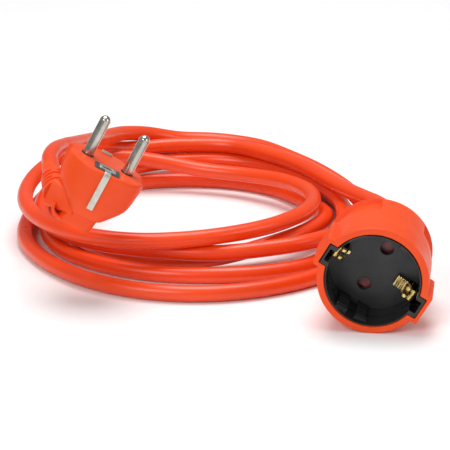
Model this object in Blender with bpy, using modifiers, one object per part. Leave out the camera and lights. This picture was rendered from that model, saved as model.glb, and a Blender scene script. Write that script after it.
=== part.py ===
"""An earthed mains extension cord: a 16 A angled plug, a loose coil of round cable and a round coupler.

Metres, +Z up. The origin is on the ground under the middle of the coupler, which lies on its side with its
open face towards -Y. The cord runs from the plug round the coil and into the back of the coupler.
"""

from math import cos, pi, radians, sin

import bmesh
import bpy
import numpy as np
from mathutils import Matrix, Vector

GAP = 0.0003                # left between pieces that touch
CLEAR = 0.002               # how far a cutter runs past what it cuts
EDGE = 0.0008               # softened edges
SEGMENTS = 40               # sides of a large round piece
SMALL_SEGMENTS = 16         # sides of a pin, bore or contact

# Plug and socket system
PIN_SPACING = 0.019
PIN_RADIUS = 0.0024
PIN_LENGTH = 0.019
RECESS_RADIUS = 0.0197
RECESS_DEPTH = 0.018

# Coupler, measured from its front face backwards along its own axis
COUPLER_RADIUS = 0.02365
COUPLER_FACE_Y = -0.042
COUPLER_ROLL = radians(30)  # the line through the two ears, turned clockwise from level
COUPLER_LENGTH = 0.084      # front face to the end of the boot
EAR_REACH = 0.0254
EAR_WIDTH = 0.0138
EAR_DEPTH = 0.021
BODY_DEPTH = 0.0543         # front face to the end of the housing
GRIP_START = 0.025
GRIP_END = 0.0385
GRIP_RADIUS = 0.0212
GRIP_CUT_RADIUS = 0.032
GRIP_PAD_WIDTH = 0.022
INSERT_RADIUS = 0.0203
INSERT_DEPTH = 0.021
INSERT_EAR_REACH = 0.0233
INSERT_EAR_WIDTH = 0.0095
EAR_INSET = 0.0002          # the insert's ears stop short of its two ends
POCKET_START = 0.0140
POCKET_REACH = 0.0223
POCKET_WIDTH = 0.0057
PIN_HOLE_RADIUS = 0.0029
RIB_NEAR = 0.0019           # the two sides of a guide rib, from the pin line
RIB_FAR = 0.0070
RIB_INNER = 0.0172
RIB_TOP = 0.0025
WIRING_RADIUS = 0.0191
HOUSING_BACK = [            # (radius, depth) down the tapered back
    (0, BODY_DEPTH), (0.0088, BODY_DEPTH), (0.0095, BODY_DEPTH - EDGE), (0.0150, 0.0468),
    (0.0218, 0.0405), (0.0234, 0.0387), (COUPLER_RADIUS - GAP / 3, 0.0365),
]
HOUSING_HOLLOW = [          # the same for the space where the cores run
    (0, 0.060), (0.0053, 0.060), (0.0053, 0.0495), (0.0160, 0.0360), (WIRING_RADIUS, 0.0335),
]
CARRIER_RADIUS = 0.0169
CARRIER_START = 0.0246
CARRIER_END = 0.0320
CONTACT_OUTER = 0.0031
CONTACT_INNER = 0.0025
CONTACT_END = 0.0330
SLIT_WIDTH = 0.0008
SLIT_END = 0.0305
CRIMP_OUTER = 0.0019
CRIMP_INNER = 0.0013
CRIMP_END = 0.0378
SHUTTER_THICKNESS = 0.0012
SHUTTER_HUB = 0.0046
SHUTTER_WIDTH = 0.0068
SHUTTER_REACH = 0.0120
PIVOT_RADIUS = 0.001
PIVOT_START = 0.0198
PIVOT_END = 0.0300
SPRING_RADIUS = 0.0022
SPRING_WIRE = 0.00022
SPRING_TURNS = 1.75
SPRING_STEPS = 28
SPRING_RISE = 0.0008
STRIP = 0.0006              # sheet thickness of the brass and nickelled strips
CLIP_FOOT = 0.0182          # the clips' hinges, out from the axis and back from the front face
CLIP_HINGE = 0.0203
CLIP_WIDTH = 0.0052
CLIP_PATH = [               # (distance from the axis, depth) from the foot to the flat inner end
    (0.0182, 0.0206), (0.0196, 0.0180), (0.0204, 0.0140), (0.0203, 0.0110), (0.0195, 0.0095),
    (0.0182, 0.0093), (0.0171, 0.0106), (0.0166, 0.0126), (0.0155, 0.0145), (0.0136, 0.0156),
    (0.0102, 0.0159),
]
BRIDGE_START = 0.0212
BRIDGE_BACK = 0.0326
BRIDGE_WIDTH = 0.0042
CORE_STAGES = [             # how far each core has closed on its place in the cable, by depth
    (0, 0.0340), (0, 0.0395), (0.35, 0.0430), (0.85, 0.0475), (1, 0.0510), (1, 0.0660), (1, 0.0800),
]
BOOT_COLLAR = 0.0030        # length of the boot's collar, its spigot into the housing and their radii
BOOT_COLLAR_RADIUS = 0.0090
BOOT_SPIGOT = 0.0043
BOOT_SPIGOT_RADIUS = 0.0050
BOOT_ROOT_RADIUS = 0.0082
BOOT_TIP_RADIUS = 0.0052
BOOT_GROOVE = 0.0009

# Plug, measured down from its face, with its pins along its own +Z
PLUG_RADIUS = 0.0187
PLUG_WAIST_DEPTH = 0.0217
PLUG_DEPTH = 0.0288
PLUG_HEAD = [               # (radius, height) down the round head
    (0, 0), (PLUG_RADIUS - EDGE, 0), (PLUG_RADIUS, -EDGE), (0.0183, -0.0100), (0.0170, -0.0145),
    (0.0127, -0.0185), (0, -0.0185),
]
GRIP_OUTLINE = [            # (across, height) round the grip below the head
    (-0.0160, -0.0132), (-0.0152, -0.0150), (-0.0078, -PLUG_WAIST_DEPTH), (-0.0098, -0.0272),
    (-0.0090, -PLUG_DEPTH), (0.0050, -PLUG_DEPTH), (0.0064, -0.0272), (0.0080, -PLUG_WAIST_DEPTH),
    (0.0152, -0.0150), (0.0160, -0.0132),
]
GRIP_NEAR = -0.0150
GRIP_THICKNESS = 0.0270
GUIDE_REACH = 0.0164        # the flat bottoms of the two guide grooves, from the axis
GUIDE_WIDTH = 0.0112
PLUG_ORIGIN = Vector((-0.1181, -0.0093, 0.0596))
PLUG_PIN_AXIS = Vector((0.456, 0.135, 0.877)).normalized()
PLUG_PIN_LINE = Vector((0.860, 0.135, -0.497))
RELIEF_ROOT = Vector((-0.0135, -0.0025, -0.0208))
RELIEF_AXIS = Vector((-0.22, 0.965, 0.13)).normalized()
RELIEF_LENGTH = 0.024
RELIEF_ROOT_RADIUS = 0.0060
RELIEF_TIP_RADIUS = 0.0049
RELIEF_GROOVE = 0.0008
NECK_RADIUS = 0.0076
NECK_START = -0.0100
NECK_END = 0.0040
THROAT_START = -0.0030
EARTH_OFFSET = 0.010        # from the pin line to the hole for an earth pin
COLLAR_RADIUS = 0.00285
COLLAR_START = -0.0040
COLLAR_END = 0.0005
NOSE_LENGTH = 0.0022
NOSE_STEPS = 4
PIN_SHOULDER = -0.0100
PIN_TAIL_RADIUS = 0.0016
PIN_ROOT = -0.0135
STRIP_REACH = 0.0186        # the side strips' middle line, from the axis
STRIP_END = 0.0170
NEAR_STRIP_WIDTH = 0.0030
FAR_STRIP_WIDTH = 0.0048
LEDGE_START = 0.0134
EYE_LEVEL = 0.0006          # the eye that the near strip ends in
EYE_LENGTH = 0.0080
EYE_WIDTH = 0.0056
EYE_THICKNESS = 0.0008
SLOT_LENGTH = 0.0046
SLOT_WIDTH = 0.0021
CORE_LOW = (-0.0057, -0.0149, -0.0125)
CORE_HIGH = (0.0057, -0.0055, -0.0001)
SOCKET_OUTER = 0.0028
SOCKET_INNER = 0.0023
SOCKET_START = -0.0120
PLUG_HOLLOWS = [            # name and two corners of each space inside the body
    ("core_pocket", (-0.0060, -0.0152, -0.0133), (0.0060, -0.0052, 0.0020)),
    ("wiring_hollow", (-0.0112, -0.0062, -0.0180), (0.0112, 0.0030, -0.0125)),
    ("core_shaft", (-0.0064, -0.0125, -0.0235), (0.0062, -0.0032, -0.0120)),
    ("core_hollow", (-0.0165, -0.0100, -0.0240), (0.0052, -0.0038, -0.0172)),
]
CORE_REACHES = (-0.0010, 0.010, 0.022)
PLUG_CORES = {              # colour, place in the cable and route from the pin or the earth socket
    "neutral": ("blue", (0, 0.00155), [
        (-0.0085, -0.0022, -0.0150), (-0.0086, -0.0046, -0.0168), (-0.0105, -0.0060, -0.0188),
        (-0.0132, -0.0052, -0.0193),
    ]),
    "live": ("brown", (0.00135, -0.0008), [
        (0.0085, -0.0022, -0.0150), (0.0045, -0.0042, -0.0160), (0.0005, -0.0054, -0.0185),
        (-0.0050, -0.0056, -0.0212), (-0.0095, -0.0054, -0.0217),
    ]),
    "earth": ("green", (-0.00135, -0.0008), [
        (0.0, -0.0100, -0.0128), (0.0, -0.0102, -0.0170), (-0.0020, -0.0092, -0.0205),
        (-0.0060, -0.0085, -0.0220), (-0.0108, -0.0083, -0.0222), (-0.0143, -0.0070, -0.0218),
    ]),
}

# Cable
CORD_RADIUS = 0.0037
CORE_RADIUS = 0.0011
RELIEF_BORE = 0.0032
CORE_CIRCLE = 0.0015

# The route of the cord, from the plug's relief to the coupler's boot. The first and last runs are free,
# and between them each line is one half of a turn.
PLUG_LEAD = [
    (-0.1462, 0.0061, 0.0523), (-0.1482, 0.0130, 0.0533), (-0.1487, 0.0240, 0.0532),
    (-0.1480, 0.0410, 0.0500), (-0.1462, 0.0625, 0.0446), (-0.1445, 0.0860, 0.0385),
    (-0.1425, 0.1080, 0.0330),
]
TURNS = [
    (-0.1368, 0.1310, 0.0282), (-0.1270, 0.1465, 0.0236), (-0.1120, 0.1562, 0.0187),
    (-0.092, 0.1605, 0.0172), (-0.0709, 0.1549, 0.0167), (-0.0525, 0.1397, 0.0160), (-0.0368, 0.1265, 0.014),
    (-0.0219, 0.1128, 0.0098), (-0.0124, 0.0966, 0.0062), (-0.0085, 0.0754, 0.0043), (-0.010, 0.053, 0.0037),
    (-0.015, 0.032, 0.0037), (-0.030, 0.010, 0.0037), (-0.054, -0.008, 0.0037), (-0.081, -0.016, 0.0037),
    (-0.108, -0.014, 0.0037), (-0.132, -0.003, 0.0037), (-0.153, 0.017, 0.0037), (-0.167, 0.042, 0.0037),

    (-0.171, 0.069, 0.0045), (-0.168, 0.095, 0.007), (-0.160, 0.121, 0.009), (-0.144, 0.142, 0.010),
    (-0.122, 0.157, 0.0095), (-0.097, 0.163, 0.009), (-0.070, 0.160, 0.008), (-0.048, 0.147, 0.006),
    (-0.034, 0.126, 0.004), (-0.0235, 0.104, 0.0037), (-0.019, 0.081, 0.0037), (-0.021, 0.055, 0.0037),
    (-0.031, 0.028, 0.0037), (-0.050, 0.014, 0.0037), (-0.075, 0.007, 0.0037), (-0.100, 0.006, 0.0037),
    (-0.124, 0.013, 0.0037), (-0.144, 0.027, 0.0037), (-0.157, 0.048, 0.0037), (-0.161, 0.072, 0.0037),

    (-0.158, 0.095, 0.0037), (-0.148, 0.114, 0.0037), (-0.130, 0.128, 0.0037), (-0.106, 0.136, 0.0037),
    (-0.082, 0.136, 0.0037), (-0.061, 0.128, 0.0037), (-0.045, 0.113, 0.004), (-0.034, 0.094, 0.006),
    (-0.030, 0.073, 0.0095), (-0.036, 0.051, 0.011), (-0.052, 0.036, 0.009), (-0.076, 0.025, 0.005),
    (-0.100, 0.023, 0.0037), (-0.123, 0.029, 0.0037), (-0.140, 0.043, 0.004), (-0.150, 0.062, 0.005),

    (-0.153, 0.083, 0.008), (-0.149, 0.105, 0.0105), (-0.137, 0.124, 0.011), (-0.119, 0.139, 0.011),
    (-0.097, 0.147, 0.011), (-0.073, 0.144, 0.011), (-0.052, 0.132, 0.011), (-0.036, 0.114, 0.011),
    (-0.025, 0.093, 0.011), (-0.021, 0.070, 0.011), (-0.022, 0.049, 0.0115), (-0.033, 0.031, 0.013),
    (-0.051, 0.021, 0.0125), (-0.075, 0.015, 0.0112), (-0.100, 0.015, 0.0112), (-0.126, 0.020, 0.0112),
    (-0.148, 0.033, 0.0115), (-0.161, 0.052, 0.0120), (-0.164, 0.074, 0.0135), (-0.160, 0.096, 0.0153),

    (-0.151, 0.114, 0.0175), (-0.137, 0.124, 0.0183), (-0.119, 0.128, 0.0155), (-0.096, 0.128, 0.012),
    (-0.073, 0.123, 0.012), (-0.054, 0.112, 0.0135), (-0.041, 0.096, 0.015), (-0.036, 0.076, 0.017),
    (-0.038, 0.055, 0.0185), (-0.049, 0.036, 0.0188), (-0.065, 0.022, 0.0188), (-0.086, 0.011, 0.0188),
    (-0.110, 0.006, 0.0188), (-0.134, 0.011, 0.0188), (-0.154, 0.025, 0.019), (-0.167, 0.046, 0.0195),

    (-0.171, 0.070, 0.0205), (-0.167, 0.094, 0.0225), (-0.155, 0.117, 0.0240), (-0.135, 0.136, 0.0188),
    (-0.110, 0.146, 0.0186), (-0.085, 0.148, 0.0186), (-0.063, 0.136, 0.0188),
]
COUPLER_LEAD = [
    (-0.046, 0.120, 0.0191), (-0.0318, 0.101, 0.0191), (-0.0203, 0.0840, 0.0198), (-0.0104, 0.0690, 0.0213),
    (-0.0042, 0.0588, 0.0226), (-0.0005, 0.0490, 0.0235), (0.0, 0.042, 0.02365),
]
LEAD_STEP = 0.014           # between the points of a lead's tube
COIL_CENTRE = (-0.088, 0.072)
COIL_SECTIONS = 40
COIL_TOP = 0.0252           # the plug's lead lies on this
COIL_RIGHT_TOP = 0.0149     # two layers high where the coupler's lead passes over
COIL_RIGHT = (radians(-45), radians(63))

COLOURS = {                 # linear colour, roughness, metallic
    "orange": ((0.84, 0.085, 0.024), 0.42, 0.0),
    "orange_cable": ((0.80, 0.075, 0.022), 0.38, 0.0),
    "black": ((0.012, 0.012, 0.013), 0.22, 0.0),
    "grey": ((0.06, 0.06, 0.065), 0.45, 0.0),
    "dark_red": ((0.10, 0.012, 0.012), 0.40, 0.0),
    "brass": ((0.74, 0.50, 0.20), 0.28, 1.0),
    "nickel": ((0.68, 0.66, 0.62), 0.22, 1.0),
    "steel": ((0.55, 0.55, 0.55), 0.30, 1.0),
    "brown": ((0.12, 0.045, 0.02), 0.45, 0.0),
    "blue": ((0.02, 0.10, 0.45), 0.45, 0.0),
    "green": ((0.10, 0.40, 0.06), 0.45, 0.0),
}


def clear_scene():
    for obj in list(bpy.data.objects):
        bpy.data.objects.remove(obj, do_unlink=True)


def new_collection(name):
    collection = bpy.data.collections.new(name)
    bpy.context.scene.collection.children.link(collection)
    return collection


def make_material(name):
    colour, roughness, metallic = COLOURS[name]
    material = bpy.data.materials.new(name)
    material.use_nodes = True
    shader = material.node_tree.nodes["Principled BSDF"]
    shader.inputs["Base Color"].default_value = (*colour, 1.0)
    shader.inputs["Roughness"].default_value = roughness
    shader.inputs["Metallic"].default_value = metallic
    return material


def add_object(name, data, colour, parent):
    """Links a part, or a hidden cutter when it has no colour, under the empty that carries its frame."""
    obj = bpy.data.objects.new(name, data)
    obj.parent = parent
    if colour is None:
        CUTTERS.objects.link(obj)
        obj.hide_render = True
        obj.display_type = "WIRE"
    else:
        PARTS.objects.link(obj)
        obj.data.materials.append(make_material(colour))
        obj.data.materials[0].name = f"{name}_{colour}"
    return obj


def add_frame(name, matrix):
    frame = bpy.data.objects.new(name, None)
    PARTS.objects.link(frame)
    frame.matrix_world = matrix
    return frame


def add_modifier(obj, kind, **settings):
    modifier = obj.modifiers.new(kind.title(), kind)
    for setting, value in settings.items():
        setattr(modifier, setting, value)
    return modifier


def combine(obj, *others, operation="DIFFERENCE", solver="EXACT"):
    for other in others:
        add_modifier(obj, "BOOLEAN", operation=operation, solver=solver, object=other)
    return obj


def turned(name, colour, parent, profile, segments=SEGMENTS, at=(0, 0, 0)):
    """A body of revolution about its own Z. The profile lists (radius, z) down its outer side."""
    mesh = bpy.data.meshes.new(name)
    points = [(radius, 0, z) for radius, z in profile]
    edges = [(i, i + 1) for i in range(len(points) - 1)]
    if profile[0][0] > 0:
        edges.append((len(points) - 1, 0))
    mesh.from_pydata(points, edges, [])
    obj = add_object(name, mesh, colour, parent)
    obj.location = at
    add_modifier(
        obj, "SCREW", axis="Z", steps=segments, render_steps=segments, use_merge_vertices=True,
        merge_threshold=0.00001, use_smooth_shade=True,
    )
    return obj


def rod(name, colour, parent, radius, bottom, top, at=(0, 0), segments=SMALL_SEGMENTS):
    profile = [(0, top), (radius, top), (radius, bottom), (0, bottom)]
    return turned(name, colour, parent, profile, segments, (*at, 0))


def sleeve(name, colour, parent, outer, inner, bottom, top, at=(0, 0), segments=SMALL_SEGMENTS):
    profile = [(outer, top), (outer, bottom), (inner, bottom), (inner, top)]
    return turned(name, colour, parent, profile, segments, (*at, 0))


def block(name, colour, parent, low, high, bevel=0.0):
    """A box between two opposite corners in its parent's frame."""
    low, high = Vector(low), Vector(high)
    mesh = bpy.data.meshes.new(name)
    shape = bmesh.new()
    bmesh.ops.create_cube(shape, size=1.0)
    bmesh.ops.scale(shape, vec=high - low, verts=shape.verts)
    shape.to_mesh(mesh)
    shape.free()
    obj = add_object(name, mesh, colour, parent)
    obj.location = (low + high) / 2
    if bevel:
        add_modifier(obj, "BEVEL", width=bevel, segments=2)
    return obj


def strip(name, colour, parent, path, width, thickness=STRIP):
    """A strip of sheet metal: a path of (x, z) points drawn out along Y, then given its thickness."""
    mesh = bpy.data.meshes.new(name)
    points = [(x, side * width / 2, z) for side in (-1, 1) for x, z in path]
    count = len(path)
    faces = [(i, i + 1, count + i + 1, count + i) for i in range(count - 1)]
    mesh.from_pydata(points, [], faces)
    obj = add_object(name, mesh, colour, parent)
    add_modifier(obj, "SOLIDIFY", thickness=thickness, offset=0.0, use_even_offset=True)
    return obj


def smooth_path(points, step):
    """Points about a step apart on the centripetal Catmull-Rom curve through the given points."""
    points = np.asarray(points, float)
    knots = np.concatenate([[0.0], np.cumsum(np.linalg.norm(np.diff(points, axis=0), axis=1) ** 0.5)])
    span = np.diff(knots)[:, None]
    slope = np.diff(points, axis=0) / span
    middle = (slope[1:] * span[:-1] + slope[:-1] * span[1:]) / (span[1:] + span[:-1])
    tangent = np.concatenate([slope[:1], middle, slope[-1:]])
    fine = []
    for i in range(len(points) - 1):
        count = max(1, round(np.linalg.norm(points[i + 1] - points[i]) / step))
        t = (np.arange(count) / count)[:, None]
        fine.append(
            (2 * t**3 - 3 * t**2 + 1) * points[i] + (t**3 - 2 * t**2 + t) * span[i] * tangent[i]
            + (3 * t**2 - 2 * t**3) * points[i + 1] + (t**3 - t**2) * span[i] * tangent[i + 1]
        )
    return np.concatenate([*fine, points[-1:]])


def tube(name, colour, parent, points, radius, resolution=2):
    curve = bpy.data.curves.new(name, "CURVE")
    curve.dimensions = "3D"
    curve.bevel_depth = radius
    curve.bevel_resolution = resolution
    curve.use_fill_caps = True
    spline = curve.splines.new("POLY")
    spline.points.add(len(points) - 1)
    for spline_point, place in zip(spline.points, points):
        spline_point.co = (*place, 1.0)
    return add_object(name, curve, colour, parent)


def ring_places(radius, count=3, start=0.0):
    return [(radius * cos(start + 2 * pi * i / count), radius * sin(start + 2 * pi * i / count))
            for i in range(count)]


def ribbed_taper(root_radius, tip_radius, start, length, ribs, groove):
    """The outer side of a tapered relief as (radius, z) pairs from its tip down to its root."""
    outline = []
    for i in range(ribs):
        high = start + length * (1 - i / ribs)
        low = start + length * (1 - (i + 0.6) / ribs)
        ridge = tip_radius + (root_radius - tip_radius) * (i + 0.5) / ribs
        outline += [(ridge, high), (ridge, low), (ridge - groove, low - 0.0003)]
        outline.append((ridge - groove, start + length * (1 - (i + 1) / ribs) + 0.0003))
    return outline[:-2] + [(root_radius, start)]


# ---- coupler ----

def build_housing(frame):
    edge = [(COUPLER_RADIUS, EDGE), (COUPLER_RADIUS - EDGE, 0), (0, 0)]
    housing = turned("coupler_housing", "orange", frame, HOUSING_BACK + edge)
    ears = block(
        "ear_shape", None, frame, (-EAR_REACH, -EAR_WIDTH / 2, 0), (EAR_REACH, EAR_WIDTH / 2, EAR_DEPTH),
        bevel=EDGE,
    )
    grip = sleeve(
        "grip_cutter", None, frame, GRIP_CUT_RADIUS, GRIP_RADIUS, GRIP_START, GRIP_END, segments=SEGMENTS,
    )
    pads = block(
        "grip_pad_shape", None, frame, (-GRIP_PAD_WIDTH / 2, -GRIP_CUT_RADIUS - CLEAR, GRIP_START - CLEAR),
        (GRIP_PAD_WIDTH / 2, GRIP_CUT_RADIUS + CLEAR, GRIP_END + CLEAR),
    )
    combine(grip, pads)
    seat_end = INSERT_DEPTH + GAP
    mouth = [(INSERT_RADIUS + GAP, seat_end), (INSERT_RADIUS + GAP, -CLEAR), (0, -CLEAR)]
    profile = [*HOUSING_HOLLOW, (WIRING_RADIUS, seat_end), *mouth]
    hollow = turned("housing_hollow_cutter", None, frame, profile)
    pocket = Vector((INSERT_EAR_REACH + GAP, INSERT_EAR_WIDTH / 2 + GAP, 0))
    pockets = block(
        "ear_pocket_cutter", None, frame, (-pocket.x, -pocket.y, -CLEAR), (pocket.x, pocket.y, seat_end),
    )
    combine(housing, ears, operation="UNION")
    combine(housing, grip, hollow, pockets)


def build_insert(frame):
    insert = rod("socket_insert", "black", frame, INSERT_RADIUS, 0, INSERT_DEPTH, segments=SEGMENTS)
    ears = block(
        "insert_ear_shape", None, frame, (-INSERT_EAR_REACH, -INSERT_EAR_WIDTH / 2, EAR_INSET),
        (INSERT_EAR_REACH, INSERT_EAR_WIDTH / 2, INSERT_DEPTH - EAR_INSET),
    )
    combine(insert, ears, operation="UNION")
    recess = rod("recess_cutter", None, frame, RECESS_RADIUS, -CLEAR, RECESS_DEPTH, segments=SEGMENTS)
    for side in (-1, 1):
        for half in (-1, 1):
            name = f"guide_rib_shape_{'up' if side > 0 else 'down'}_{'right' if half > 0 else 'left'}"
            xs = sorted((half * RIB_NEAR, half * RIB_FAR))
            ys = sorted((side * RIB_INNER, side * COUPLER_RADIUS))
            rib = block(name, None, frame, (xs[0], ys[0], RIB_TOP), (xs[1], ys[1], RECESS_DEPTH + CLEAR))
            combine(recess, rib)
    combine(insert, recess, solver="MANIFOLD")
    for side, name in ((-1, "left"), (1, "right")):
        hole = rod(
            f"pin_hole_cutter_{name}", None, frame, PIN_HOLE_RADIUS, RECESS_DEPTH - CLEAR,
            INSERT_DEPTH + CLEAR, (0, side * PIN_SPACING / 2),
        )
        xs = sorted((side * POCKET_START, side * POCKET_REACH))
        pocket = block(
            f"earth_pocket_cutter_{name}", None, frame, (xs[0], -POCKET_WIDTH / 2, -CLEAR),
            (xs[1], POCKET_WIDTH / 2, INSERT_DEPTH + CLEAR),
        )
        combine(insert, hole, pocket, solver="MANIFOLD")
    seat = rod("pivot_seat_cutter", None, frame, PIVOT_RADIUS + GAP, PIVOT_START - GAP, INSERT_DEPTH + CLEAR)
    combine(insert, seat, solver="MANIFOLD")


def build_shutter(frame):
    low = INSERT_DEPTH + GAP
    high = low + SHUTTER_THICKNESS
    shutter = rod("shutter", "dark_red", frame, SHUTTER_HUB, low, high, segments=24)
    half = Vector((SHUTTER_WIDTH / 2, SHUTTER_REACH, 0))
    bar = block("shutter_bar_shape", None, frame, (-half.x, -half.y, low), (half.x, half.y, high))
    bore = rod("shutter_bore_cutter", None, frame, PIVOT_RADIUS + GAP, low - CLEAR, high + CLEAR)
    combine(shutter, bar, operation="UNION")
    combine(shutter, bore)
    rod("shutter_pivot", "steel", frame, PIVOT_RADIUS, PIVOT_START, PIVOT_END)
    points = []
    for i in range(SPRING_STEPS + 1):
        share = i / SPRING_STEPS
        angle = 2 * pi * SPRING_TURNS * share
        rise = high + SPRING_WIRE + GAP + SPRING_RISE * share
        points.append((SPRING_RADIUS * cos(angle), SPRING_RADIUS * sin(angle), rise))
    tube("shutter_spring", "steel", frame, points, SPRING_WIRE)


def build_contacts(frame):
    carrier = rod(
        "contact_carrier", "grey", frame, CARRIER_RADIUS, CARRIER_START, CARRIER_END, segments=32,
    )
    cut_from, cut_to = CARRIER_START - CLEAR, CARRIER_END + CLEAR
    pivot_bore = rod("carrier_pivot_cutter", None, frame, PIVOT_RADIUS + GAP, cut_from, cut_to)
    combine(carrier, pivot_bore)
    for side, name in ((-1, "neutral"), (1, "live")):
        place = (0, side * PIN_SPACING / 2)
        bore = rod(f"carrier_{name}_cutter", None, frame, CONTACT_OUTER + 0.0005, cut_from, cut_to, place)
        combine(carrier, bore)
        contact = sleeve(
            f"contact_{name}", "brass", frame, CONTACT_OUTER, CONTACT_INNER, CARRIER_START + GAP,
            CONTACT_END, place,
        )
        ys = sorted((place[1], place[1] + side * 2 * CONTACT_OUTER))
        slit = block(
            f"contact_{name}_slit_cutter", None, frame, (-SLIT_WIDTH / 2, ys[0], CARRIER_START - CLEAR),
            (SLIT_WIDTH / 2, ys[1], SLIT_END),
        )
        combine(contact, slit)
        sleeve(
            f"crimp_{name}", "brass", frame, CRIMP_OUTER, CRIMP_INNER, CONTACT_END + GAP, CRIMP_END, place,
            segments=12,
        )
    bridge_path = [
        (CLIP_FOOT, BRIDGE_START), (CLIP_FOOT, BRIDGE_BACK),
        (-CLIP_FOOT, BRIDGE_BACK), (-CLIP_FOOT, BRIDGE_START),
    ]
    strip("earth_bridge", "brass", frame, bridge_path, BRIDGE_WIDTH)
    start = BRIDGE_BACK + STRIP / 2 + GAP
    sleeve("crimp_earth", "brass", frame, CRIMP_OUTER, CRIMP_INNER, start, CRIMP_END, segments=12)


def build_earth_clip(frame, side, name):
    """A spring clip whose foot is its hinge: up the pocket wall, over a curl, down to a flat inner end."""
    foot = Vector((side * CLIP_FOOT, 0, CLIP_HINGE))
    path = [(side * x - foot.x, z - foot.z) for x, z in CLIP_PATH]
    clip = strip(f"earth_clip_{name}", "brass", frame, path, CLIP_WIDTH)
    clip.location = foot


def build_coupler_cores(frame):
    """The three cores, fanned out from the cable to the two contacts and the earth bridge."""
    places = ring_places(CORE_CIRCLE, start=pi / 2)
    starts = {"live": (0, PIN_SPACING / 2), "neutral": (0, -PIN_SPACING / 2), "earth": (0, 0)}
    cores = {"live": ("brown", places[0]), "neutral": ("blue", places[1]), "earth": ("green", places[2])}
    for name, (colour, end) in cores.items():
        start = Vector(starts[name])
        end = Vector(end)
        points = [(*start.lerp(end, share), z) for share, z in CORE_STAGES]
        tube(f"coupler_core_{name}", colour, frame, points, CORE_RADIUS)


def build_coupler_boot(frame):
    root = BODY_DEPTH + BOOT_COLLAR + GAP
    outline = ribbed_taper(BOOT_ROOT_RADIUS, BOOT_TIP_RADIUS, root, COUPLER_LENGTH - root, 6, BOOT_GROOVE)
    spigot = BODY_DEPTH - BOOT_SPIGOT
    collar = [
        (BOOT_COLLAR_RADIUS, BODY_DEPTH + BOOT_COLLAR), (BOOT_COLLAR_RADIUS, BODY_DEPTH + GAP),
        (BOOT_SPIGOT_RADIUS, BODY_DEPTH + GAP), (BOOT_SPIGOT_RADIUS, spigot), (RELIEF_BORE, spigot),
    ]
    profile = [*outline, *collar, (RELIEF_BORE, COUPLER_LENGTH)]
    turned("coupler_strain_relief", "orange", frame, profile, 24)


# ---- plug ----

def build_plug_body(frame, relief_frame):
    body = turned("plug_body", "orange", frame, PLUG_HEAD)
    mesh = bpy.data.meshes.new("plug_grip_shape")
    shape = bmesh.new()
    corners = [shape.verts.new((x, GRIP_NEAR, z)) for x, z in GRIP_OUTLINE]
    bottom = shape.faces.new(corners)
    drawn = bmesh.ops.extrude_face_region(shape, geom=[bottom])
    moved = [item for item in drawn["geom"] if isinstance(item, bmesh.types.BMVert)]
    bmesh.ops.translate(shape, vec=(0, GRIP_THICKNESS, 0), verts=moved)
    bmesh.ops.recalc_face_normals(shape, faces=shape.faces)
    shape.to_mesh(mesh)
    shape.free()
    grip = add_object("plug_grip_shape", mesh, None, frame)
    neck = rod("relief_neck_shape", None, relief_frame, NECK_RADIUS, NECK_START, NECK_END, segments=24)
    combine(body, grip, neck, operation="UNION")
    cutters = []
    for side, name in ((-1, "left"), (1, "right")):
        xs = sorted((side * GUIDE_REACH, side * (PLUG_RADIUS + 2 * CLEAR)))
        cutters.append(block(
            f"guide_groove_cutter_{name}", None, frame, (xs[0], -GUIDE_WIDTH / 2, -PLUG_DEPTH - CLEAR),
            (xs[1], GUIDE_WIDTH / 2, CLEAR),
        ))
        cutters.append(rod(
            f"pin_bore_cutter_{name}", None, frame, COLLAR_RADIUS + 0.0002, PIN_ROOT - 0.001, CLEAR,
            (side * PIN_SPACING / 2, 0),
        ))
    for side, name, width in ((-1, "near", NEAR_STRIP_WIDTH), (1, "far", FAR_STRIP_WIDTH)):
        half = width / 2 + GAP
        ys = sorted((side * (STRIP_REACH - 0.0006), side * (PLUG_RADIUS + CLEAR)))
        cutters.append(block(
            f"earth_channel_cutter_{name}", None, frame, (-half, ys[0], -STRIP_END - 0.0005),
            (half, ys[1], CLEAR),
        ))
        ys = sorted((side * LEDGE_START, side * (PLUG_RADIUS + CLEAR)))
        cutters.append(block(
            f"earth_ledge_cutter_{name}", None, frame, (-half, ys[0], -2 * GAP), (half, ys[1], CLEAR),
        ))
    for name, low, high in PLUG_HOLLOWS:
        cutters.append(block(f"{name}_cutter", None, frame, low, high))
    cutters.append(rod(
        "relief_seat_cutter", None, relief_frame, RELIEF_ROOT_RADIUS + GAP, -GAP, RELIEF_LENGTH + CLEAR,
        segments=24,
    ))
    cutters.append(rod("relief_throat_cutter", None, relief_frame, RELIEF_BORE, THROAT_START, CLEAR))
    combine(body, *cutters)


def build_pins(frame):
    nose = [(0, PIN_LENGTH)]
    for i in range(1, NOSE_STEPS + 1):
        angle = pi / 2 * i / NOSE_STEPS
        nose.append((PIN_RADIUS * sin(angle), PIN_LENGTH - NOSE_LENGTH * (1 - cos(angle))))
    shank = [
        *nose, (PIN_RADIUS, PIN_SHOULDER), (PIN_TAIL_RADIUS, PIN_SHOULDER - EDGE / 4),
        (PIN_TAIL_RADIUS, PIN_ROOT), (0, PIN_ROOT),
    ]
    for side, name in ((-1, "left"), (1, "right")):
        place = (side * PIN_SPACING / 2, 0)
        turned(f"plug_pin_{name}", "nickel", frame, shank, SMALL_SEGMENTS, (*place, 0))
        sleeve(
            f"pin_collar_{name}", "grey", frame, COLLAR_RADIUS, PIN_RADIUS + 0.0002, COLLAR_START,
            COLLAR_END, place, segments=24,
        )


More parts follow.
